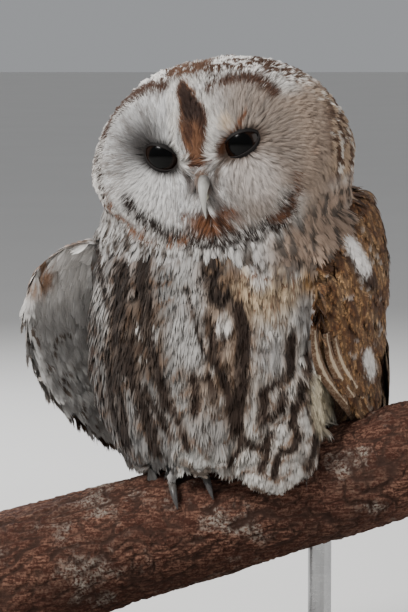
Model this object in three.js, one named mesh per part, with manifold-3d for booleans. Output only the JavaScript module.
// A life-size tawny owl, gripping a cut length of branch that a plain display stand holds up.
// Millimetres, +Z up. The origin is the centre of the base's underside, and the owl looks towards -Y.
// The owl's own frame has its zero height at the top of the branch, under its feet.
import * as THREE from "three";
import { mergeVertices } from "three/addons/utils/BufferGeometryUtils.js";
import Module from "manifold-3d";

const wasm = await Module();
wasm.setup();

const { sin, cos, PI, sqrt, exp, min, max, abs, hypot } = Math;
const deg = THREE.MathUtils.degToRad;
const v3 = (x, y, z) => new THREE.Vector3(x, y, z);

// ---------------------------------------------------------------- driving dimensions

const GAP = 0.35; // clear space between neighbouring pieces

const BASE = { width: 250, depth: 250, thick: 18, corner: 22, bevel: 2.5 };
const RODS = { radius: 6.5, places: { left: 64, right: -64 }, intoBase: 10, intoPerch: 16 };
const COLLAR = { radius: 17, height: 6, bevel: 1.2 };

const PERCH = { top: 150, length: 316, radius: 33, taper: 0.028, slope: deg(16.5), sides: 20, rows: 12 };

const BODY_YAW = deg(-18); // the breast turns towards the owl's right
const HEAD = { centre: v3(10, -2, 164), yaw: deg(-13.5), pitch: deg(4), roll: deg(-9) };
const SKULL = { width: 73, crown: 56, chin: 50, face: 48, nape: 55, square: 0.9 };
const DISC = { width: 56, height: 40, bowl: 6, bowlAcross: 18, ridge: 4.5, ridgeAcross: 8, rim: 2.2 };
const EYE = { apart: 21.5, up: 10.5, back: -33, radius: 12.4 };
const BILL = { base: v3(0, -42, -5), bend: v3(0, -57, -6), tip: v3(0, -56, -22), wide: 6, deep: 6.5 };
const JAW = { base: v3(0, -41, -13), bend: v3(0, -49, -14), tip: v3(0, -51.5, -18.5), wide: 4.2, deep: 2.4 };

// Trunk and neck, from the throat down to the belly: height, middle (x, y), half width, depth in front and behind.
const TRUNK = [
  [166, 17, 14, 56, 36, 58],
  [134, 12, 14, 71, 54, 67],
  [98, 4, 16, 70, 63, 72],
  [56, 2, 19, 71, 66, 73],
  [20, 4, 20, 67, 61, 72],
  [-6, 11, 17, 55, 50, 62],
  [-24, 21, 9, 34, 36, 40],
];
const NECK = { front: 120, back: 126, deep: 22 }; // heights of its upper cut, and how far below the lower one is

const LEGS = {
  right: { top: v3(-3, -20, 62), foot: v3(-1, -31, -10), wide: 21, deep: 16, cuff: 0.62 },
  left: { top: v3(41, -17, 64), foot: v3(38, -33, -24), wide: 27, deep: 16, cuff: 0.78 },
};
const FEET = { right: 0, left: 42 }; // place of each ankle along the branch
const TOE = { radius: 4.6, ankle: 7, shank: 9.2, reach: deg(42) };
const POCKET = { over: 10, beside: 17 }; // the hollow in the belly feathers that holds the feet
const TOES = { // sideways reach from the ankle, and whether it goes to the front or the back of the branch
  inner: { out: -10, way: 1 },
  middle: { out: 9, way: 1 },
  outer: { out: 12, way: -1 },
  hind: { out: -7, way: -1 },
};
const CLAW = { radius: 2.3, from: deg(39), to: deg(65), arch: 4.5 };

// ---------------------------------------------------------------- shape helpers

/** A smooth curve through [place, value] knots, held beyond both ends. */
function through(knots) {
  const slope = (i) => {
    const [a, b] = [knots[max(i - 1, 0)], knots[min(i + 1, knots.length - 1)]];
    return (b[1] - a[1]) / (b[0] - a[0]);
  };
  return (at) => {
    const place = min(max(at, knots[0][0]), knots[knots.length - 1][0]);
    let i = 0;
    while (i < knots.length - 2 && place > knots[i + 1][0]) i++;
    const [[x0, y0], [x1, y1]] = [knots[i], knots[i + 1]];
    const [t, h] = [(place - x0) / (x1 - x0), x1 - x0];
    const [t2, t3] = [t * t, t * t * t];
    return (
      (2 * t3 - 3 * t2 + 1) * y0 + (t3 - 2 * t2 + t) * h * slope(i) +
      (3 * t2 - 2 * t3) * y1 + (t3 - t2) * h * slope(i + 1)
    );
  };
}

/** A closed geometry as a solid for joining and cutting, with its faces turned outwards. */
function solid(geometry) {
  const bare = geometry.clone();
  bare.deleteAttribute("normal");
  bare.deleteAttribute("uv");
  const merged = mergeVertices(bare, 1e-4);
  const make = (triVerts) =>
    new wasm.Manifold(new wasm.Mesh({ numProp: 3, vertProperties: merged.attributes.position.array, triVerts }));
  const faces = new Uint32Array(merged.index.array);
  const made = make(faces);
  if (made.volume() > 0) return made;
  for (let i = 0; i < faces.length; i += 3) [faces[i + 1], faces[i + 2]] = [faces[i + 2], faces[i + 1]];
  return make(faces);
}

/** A closed skin with a pole at each end. place(along, around) gives its points, with along from 0 to 1. */
function closedLoft(sides, rows, place) {
  const geometry = new THREE.SphereGeometry(1, sides, rows);
  const points = geometry.attributes.position;
  for (let row = 0, i = 0; row <= rows; row++) {
    for (let side = 0; side <= sides; side++, i++) {
      const p = place(row / rows, ((side % sides) / sides) * 2 * PI);
      points.setXYZ(i, p.x, p.y, p.z);
    }
  }
  return geometry;
}

/** A tapering limb of oval section along a curve, rounded at both ends. */
function limb(curve, wide, deep, sides, rows, blunt = 0.5) {
  const steps = 64;
  const frames = curve.computeFrenetFrames(steps, false);
  return closedLoft(sides, rows, (v, around) => {
    const along = (1 - cos(PI * v)) / 2;
    const end = sin(PI * v) ** blunt * (v > 0 && v < 1);
    const step = Math.round(along * steps);
    return curve.getPoint(along)
      .addScaledVector(frames.binormals[step], wide(along) * end * cos(around))
      .addScaledVector(frames.normals[step], deep(along) * end * sin(around));
  });
}

/** A thin curved blade between two edge curves, such as a wing or a tail. camber bulges it along its upper side. */
function blade({ lead, trail, upper, thick, camber, sides, rows }, grow = 0) {
  return closedLoft(sides, rows, (v, around) => {
    const [a, b] = [lead.getPoint(v), trail.getPoint(v)];
    const end = v > 0 && v < 1 ? sqrt(min(1, (1 - abs(2 * v - 1)) / 0.14)) : 0;
    const middle = a.clone().add(b).multiplyScalar(0.5);
    const half = b.clone().sub(a).multiplyScalar(0.5);
    const spread = (1 + grow / max(half.length(), 1)) * cos(around);
    const rise = (thick(v) / 2 + grow) * sin(around) + camber(v) * (1 - cos(around) ** 2);
    const out = upper(v).normalize();
    return middle.addScaledVector(half, spread * end).addScaledVector(out, rise * end);
  });
}

const cut = (piece, ...tools) => tools.reduce((left, tool) => left.subtract(tool), piece);

/** The largest body of a solid, without slivers that a cut leaves loose. */
const largest = (piece) => piece.decompose().sort((a, b) => b.volume() - a.volume())[0];

// ---------------------------------------------------------------- stand and branch

/** A plate with rounded corners and a small bevel, its underside at zero height. */
function standBase() {
  const { width, depth, thick, corner, bevel } = BASE;
  const [x, y, r] = [width / 2 - bevel, depth / 2 - bevel, corner - bevel];
  const outline = new THREE.Shape();
  outline.absarc(x - r, y - r, r, 0, PI / 2);
  outline.absarc(r - x, y - r, r, PI / 2, PI);
  outline.absarc(r - x, r - y, r, PI, 1.5 * PI);
  outline.absarc(x - r, r - y, r, 1.5 * PI, 2 * PI);
  const plate = new THREE.ExtrudeGeometry(outline, {
    depth: thick - 2 * bevel, bevelSize: bevel, bevelThickness: bevel, bevelSegments: 1, curveSegments: 5,
  });
  return solid(plate.translate(0, 0, bevel));
}

/** An upright cylinder at a place along the branch, between two heights. */
function upright(x, radius, low, high) {
  const made = new THREE.CylinderGeometry(radius, radius, high - low, 18).rotateX(PI / 2);
  return solid(made.translate(x, 0, (low + high) / 2));
}

/** The collar round a rod's foot, turned with a bevelled rim. */
function collar(x) {
  const { radius, height, bevel } = COLLAR;
  const bore = RODS.radius + GAP;
  const profile = [[bore, 0], [radius, 0], [radius, height - bevel], [radius - bevel, height], [bore, height]];
  const points = [...profile, profile[0]].map(([r, z]) => new THREE.Vector2(r, z));
  return solid(new THREE.LatheGeometry(points, 20).rotateX(PI / 2).translate(x, 0, BASE.thick + GAP));
}

/** The height above the base's underside of a rod's top, inside the branch. */
function rodTop(x) {
  const axis = PERCH.top - PERCH.radius / cos(PERCH.slope) + x * Math.tan(PERCH.slope);
  return axis - (PERCH.radius - PERCH.taper * x) / cos(PERCH.slope) + RODS.intoPerch;
}

/** The branch's radius at a place along it and round it: a taper, long swells and two old knots. */
function barkRadius(x, around) {
  const knot = (at, side, size, high) => high * exp(-(((x - at) / size) ** 2)) * max(0, cos(around - side)) ** 3;
  return (
    PERCH.radius - PERCH.taper * x + 0.7 * sin(x / 23 + 1) * cos(around) + 0.6 * sin(x / 37) * sin(2 * around) +
    knot(-112, 4.3, 20, 5) + knot(118, 1.9, 17, 4)
  );
}

/** Turns a point or a geometry from the branch's straight frame into the owl's frame. */
const branchPlace = new THREE.Matrix4()
  .makeTranslation(0, 0, -PERCH.radius / cos(PERCH.slope))
  .multiply(new THREE.Matrix4().makeRotationY(-PERCH.slope));

/** A point over the bark: x along the branch, angle from its top towards the front, height over the bark. */
function onBark(x, angle, height) {
  const r = barkRadius(x, PI / 2 + angle) + height;
  return v3(x, -r * sin(angle), r * cos(angle)).applyMatrix4(branchPlace);
}

/** The cut length of branch, in the owl's frame. */
function branch(grow = 0) {
  const geometry = new THREE.CylinderGeometry(1, 1, PERCH.length + 2 * grow, PERCH.sides, PERCH.rows).rotateZ(-PI / 2);
  const points = geometry.attributes.position;
  for (let i = 0; i < points.count; i++) {
    const [x, y, z] = [points.getX(i), points.getY(i), points.getZ(i)];
    const across = hypot(y, z);
    if (across < 0.5) continue; // the middle of a cut end
    const around = Math.atan2(z, y);
    const r = barkRadius(x, around) + grow;
    points.setXYZ(i, x, r * cos(around), r * sin(around));
  }
  return solid(geometry.applyMatrix4(branchPlace));
}

// ---------------------------------------------------------------- head

const headPlace = new THREE.Matrix4().compose(
  HEAD.centre,
  new THREE.Quaternion().setFromEuler(new THREE.Euler(HEAD.pitch, HEAD.roll, HEAD.yaw, "ZXY")),
  v3(1, 1, 1),
);

/** How far the face stands forward of a plain round head at (x, z) of the face: two bowls, a ridge and a rim. */
function faceRelief(x, z) {
  const bowl = (side) => exp(-((hypot(x - side * (EYE.apart + 3), z - EYE.up + 3) / DISC.bowlAcross) ** 2));
  const ridge = exp(-((x / DISC.ridgeAcross) ** 2)) * exp(-(((z - 8) / 24) ** 2));
  const edge = hypot(x, (z * DISC.width) / DISC.height) - DISC.width;
  return DISC.ridge * ridge - DISC.bowl * (bowl(-1) + bowl(1)) + DISC.rim * exp(-((edge / 6) ** 2));
}

/** The round head with its facial disc, without sockets, in the owl's frame. */
function headForm(grow = 0) {
  const { width, crown, chin, face, nape, square } = SKULL;
  const soften = (a) => Math.sign(a) * abs(a) ** square;
  const made = closedLoft(26, 19, (v, around) => {
    const [y, ring] = [cos(PI * v), sin(PI * v) * (v > 0 && v < 1)];
    const [x, z] = [ring * soften(cos(around)), ring * soften(sin(around))];
    const wide = (width + grow) * x * (1 - 0.07 * max(0, z) + 0.05 * max(0, -z));
    const high = ((z > 0 ? crown : chin) + grow) * z;
    if (y > 0) return v3(wide, (nape + grow) * y, high);
    const flat = sqrt(max(0, 1 - min(1, hypot(x, z)) ** 2.7));
    return v3(wide, -(face + grow) * flat - faceRelief(wide, high) * min(1, 2.2 * flat), high);
  });
  return solid(made.applyMatrix4(headPlace));
}

/** An eyeball, or its socket when grown. */
function eyeball(side, grow = 0) {
  const ball = new THREE.SphereGeometry(EYE.radius + grow, 14, 10);
  return solid(ball.translate(side * EYE.apart, EYE.back, EYE.up).applyMatrix4(headPlace));
}

/** One half of the bill: a hooked horn along base, bend and tip. */
function mandible({ base, bend, tip, wide, deep }, grow = 0) {
  const curve = new THREE.QuadraticBezierCurve3(base, bend, tip);
  const taper = (size) => (s) => size * (1 - s) ** 0.62 + 0.35 + grow;
  return solid(limb(curve, taper(wide), taper(deep), 12, 10, 0.3).applyMatrix4(headPlace));
}

// ---------------------------------------------------------------- trunk, legs and feet

/** The trunk and neck as one round form, turned with the body. */
function trunkForm(grow = 0) {
  const column = (i) => through(TRUNK.map((row) => [-row[0], row[i]]));
  const [midX, midY, halfWidth, front, back] = [1, 2, 3, 4, 5].map(column);
  const [high, low] = [TRUNK[0][0] + grow, TRUNK[TRUNK.length - 1][0] - 8 - grow];
  return solid(
    closedLoft(26, 16, (v, around) => {
      const z = high + (low - high) * (1 - cos(PI * v)) * 0.5;
      const end = v > 0 && v < 1 ? min(1, sin(PI * v) * 1.7) ** 0.6 : 0;
      const x = (halfWidth(-z) + grow) * end * cos(around);
      const y = ((sin(around) > 0 ? back(-z) : front(-z)) + grow) * end * sin(around);
      return v3(x, y, 0).applyAxisAngle(v3(0, 0, 1), BODY_YAW).add(v3(midX(-z), midY(-z), z));
    }),
  );
}

/** A feathered thigh, from inside the belly down over the branch. */
function thigh({ top, foot, wide, deep, cuff }, grow = 0) {
  const curve = new THREE.QuadraticBezierCurve3(top, v3(foot.x, foot.y + 2, (top.z + foot.z) / 2), foot);
  const taper = (size) => (s) => size * (1 - (1 - cuff) * s * s) + grow;
  return solid(limb(curve, taper(deep), taper(wide), 14, 9, 0.6));
}

/** The path of one toe over the bark, out from the ankle. */
function toePath(ankle, { out, way }, from = 0, to = TOE.reach) {
  const points = [0, 0.33, 0.66, 1].map((s) =>
    onBark(ankle + out * (0.25 + 0.75 * s), way * (from + (to - from) * s), TOE.radius * (1 - 0.15 * s)));
  return new THREE.CatmullRomCurve3(points);
}

/** A foot: the short shank inside the feathers and its four toes. */
function foot(ankle) {
  const [low, high] = [onBark(ankle, 0, 2), onBark(ankle, 0, TOE.shank)];
  const shank = new THREE.LineCurve3(low, high.setX(low.x));
  const parts = [solid(limb(shank, () => TOE.ankle, () => TOE.ankle, 7, 4, 0.4))];
  for (const toe of Object.values(TOES)) {
    const size = (s) => TOE.radius * (1 - 0.18 * s);
    parts.push(solid(limb(toePath(ankle, toe), size, size, 7, 5, 0.4)));
  }
  return parts.reduce((a, b) => a.add(b));
}

/** The hollow that the feet need in the feathers over them: a wider length of the branch's round. */
function pocket() {
  const around = PERCH.radius + POCKET.over;
  const [from, to] = [FEET.right - POCKET.beside, FEET.left + POCKET.beside];
  const made = new THREE.CylinderGeometry(around, around, to - from, 20).rotateZ(-PI / 2);
  return solid(made.translate((from + to) / 2, 0, 0).applyMatrix4(branchPlace));
}

/** A curved claw at the end of a toe, its point on the bark. */
function claw(ankle, { out, way }, grow = 0) {
  const [from, to, arch] = [CLAW.from, CLAW.to, CLAW.arch];
  const bend = (from + to) / 2 + 0.06;
  const curve = new THREE.QuadraticBezierCurve3(
    onBark(ankle + out * 0.97, way * from, TOE.radius * 0.8),
    onBark(ankle + out * 1.02, way * bend, arch + 3.2),
    onBark(ankle + out * 1.05, way * to, 0.9),
  );
  const taper = (s) => CLAW.radius * (1 - s) ** 0.7 + 0.35 + grow;
  return solid(limb(curve, taper, taper, 8, 6, 0.3));
}

// ---------------------------------------------------------------- wings and tail

const path = (...points) => new THREE.CatmullRomCurve3(points.map((p) => v3(...p)), false, "centripetal");

/** The folded left wing, from the shoulder down over the flank and back past the tail's root. */
const LEFT_WING = {
  lead: path([62, -8, 150], [61, -30, 122], [58, -36, 86], [61, -28, 56], [80, -2, 26], [93, 44, 2], [93, 98, -26], [86, 146, -52]),
  trail: path([50, 44, 158], [56, 64, 138], [60, 78, 106], [62, 90, 76], [64, 104, 48], [68, 121, 20], [74, 140, -6], [80, 164, -32]),
  upper: (s) => v3(1, -0.1 + 0.3 * s, 0.22),
  thick: through([[0, 13], [0.25, 18], [0.5, 13], [0.75, 7], [1, 3.5]]),
  camber: through([[0, 22], [0.28, 37], [0.45, 33], [0.6, 22], [0.8, 9], [1, 1]]),
  sides: 14, rows: 13,
};

/** The drooped right wing, held off the body so that its lining faces forward. */
const RIGHT_WING = {
  lead: path([-56, 26, 122], [-90, 18, 109], [-101, 16, 80], [-98, 18, 54], [-90, 24, 36], [-73, 40, 14], [-44, 86, -14], [-14, 142, -46]),
  trail: path([-40, 34, 126], [-38, 50, 114], [-36, 66, 94], [-32, 78, 70], [-26, 90, 47], [-18, 106, 25], [-8, 130, 2], [4, 160, -28]),
  upper: () => v3(-0.62, 0.74, 0.12),
  thick: through([[0, 10], [0.2, 13], [0.45, 9], [0.75, 6], [1, 3.5]]),
  camber: through([[0, 3], [0.3, 10], [0.55, 10], [0.8, 5], [1, 1]]),
  sides: 14, rows: 13,
};

/** The tail, closed to a narrow fan that slopes back behind the branch. */
const tailPoint = (side, back, z) => {
  const p = v3(side, back, z).applyAxisAngle(v3(0, 0, 1), BODY_YAW);
  return [p.x + 8, p.y + 12, p.z];
};
const tailEdge = (side) => path(
  tailPoint(side * 24, 46, 34), tailPoint(side * 29, 78, 16), tailPoint(side * 33, 116, -6),
  tailPoint(side * 33, 154, -27), tailPoint(side * 20, 178, -40),
);
const TAIL = {
  lead: tailEdge(-1),
  trail: tailEdge(1),
  upper: () => v3(0.13, 0.4, 0.9),
  thick: through([[0, 18], [0.3, 12], [0.6, 7], [1, 4]]),
  camber: () => 6,
  sides: 14, rows: 10,
};

// ---------------------------------------------------------------- the pieces, parted from each other

/** Everything above a cut through the neck, as a tall slanting block. */
function above(lift) {
  const size = 400;
  const slant = Math.atan2(NECK.back - NECK.front, 100);
  const block = new THREE.BoxGeometry(size, size, size).translate(0, 0, size / 2);
  return solid(block.rotateX(slant).translate(0, 0, (NECK.front + NECK.back) / 2 + lift));
}

/** The owl's solids by name, in its own frame. */
function owlSolids() {
  const bark = branch(GAP);
  const whole = headForm().add(trunkForm());
  const wholeGrown = headForm(GAP).add(trunkForm(GAP));
  const bill = mandible(BILL);
  const jaw = cut(mandible(JAW), mandible(BILL, GAP));
  const made = { bill_upper: bill, bill_lower: jaw };
  const sockets = [];
  for (const [name, side] of [["right", -1], ["left", 1]]) {
    made["eye_" + name] = eyeball(side);
    sockets.push(eyeball(side, GAP));
  }

  for (const [name, ankle] of Object.entries(FEET)) {
    const claws = Object.entries(TOES).map(([toeName, toe]) => {
      made["claw_" + name + "_" + toeName] = cut(claw(ankle, toe), bark);
      return claw(ankle, toe, GAP);
    });
    made["foot_" + name] = largest(cut(foot(ankle), bark, ...claws));
  }

  const thighs = { left: thigh(LEGS.left, GAP), right: thigh(LEGS.right, GAP) };
  const soft = (piece, ...tools) => largest(cut(piece, ...tools, bark, pocket()));
  made.head = largest(cut(whole.intersect(above(0)), ...sockets, mandible(BILL, GAP), mandible(JAW, GAP)));
  made.neck = largest(cut(whole, above(-GAP)).intersect(above(-NECK.deep)));
  made.trunk = soft(whole, above(-NECK.deep - GAP), thighs.left, thighs.right);
  made.leg_left = soft(thigh(LEGS.left));
  made.leg_right = soft(thigh(LEGS.right), thighs.left);

  const tail = blade(TAIL, GAP);
  const rightWing = blade(RIGHT_WING, GAP);
  made.tail = largest(cut(solid(blade(TAIL)), wholeGrown, bark));
  made.wing_right = largest(cut(solid(blade(RIGHT_WING)), wholeGrown, bark, solid(tail)));
  made.wing_left = largest(
    cut(solid(blade(LEFT_WING)), wholeGrown, bark, solid(tail), solid(rightWing), thighs.left),
  );
  return made;
}

const COLOURS = {
  head: [0xb9b2aa, 0.9], neck: [0xa89d92, 0.9], trunk: [0xa3978b, 0.9], tail: [0x7d6450, 0.9],
  wing: [0x7a5c43, 0.9], leg: [0xc4bfb6, 0.9], foot: [0xb8b0a6, 0.85], claw: [0x5b5c60, 0.4],
  bill: [0xc9c4ae, 0.4], eye: [0x0d0a09, 0.06], perch: [0x5c4132, 0.95],
  base: [0x2e2622, 0.5], steel: [0xb4b6b8, 0.3],
};

/** A named mesh of a solid, in the colour of its kind. */
function mesh(name, piece, [color, roughness], metalness = 0) {
  const { vertProperties, triVerts, numProp } = piece.getMesh();
  const position = new Float32Array((vertProperties.length / numProp) * 3);
  for (let i = 0; i < position.length / 3; i++) {
    position.set(vertProperties.subarray(i * numProp, i * numProp + 3), i * 3);
  }
  const geometry = new THREE.BufferGeometry()
    .setAttribute("position", new THREE.BufferAttribute(position, 3))
    .setIndex(new THREE.BufferAttribute(triVerts, 1));
  const made = new THREE.Mesh(geometry, new THREE.MeshStandardMaterial({ color, roughness, metalness }));
  made.name = name;
  return made;
}

const tawnyOwl = new THREE.Group();
const owl = new THREE.Group();
owl.position.z = PERCH.top;
for (const [name, piece] of Object.entries(owlSolids())) owl.add(mesh(name, piece, COLOURS[name.split("_")[0]]));

let [base, perch] = [standBase(), branch()];
for (const [name, x] of Object.entries(RODS.places)) {
  const [low, high] = [BASE.thick - RODS.intoBase, rodTop(x)];
  const bore = RODS.radius + GAP;
  base = base.subtract(upright(x, bore, low - GAP, BASE.thick + 1));
  perch = perch.subtract(upright(x, bore, -PERCH.top, high + GAP - PERCH.top));
  tawnyOwl.add(mesh("stand_rod_" + name, upright(x, RODS.radius, low, high), COLOURS.steel, 1));
  tawnyOwl.add(mesh("stand_collar_" + name, collar(x), COLOURS.steel, 1));
}
owl.add(mesh("perch", perch, COLOURS.perch));
tawnyOwl.add(mesh("stand_base", base, COLOURS.base), owl);

export default tawnyOwl;
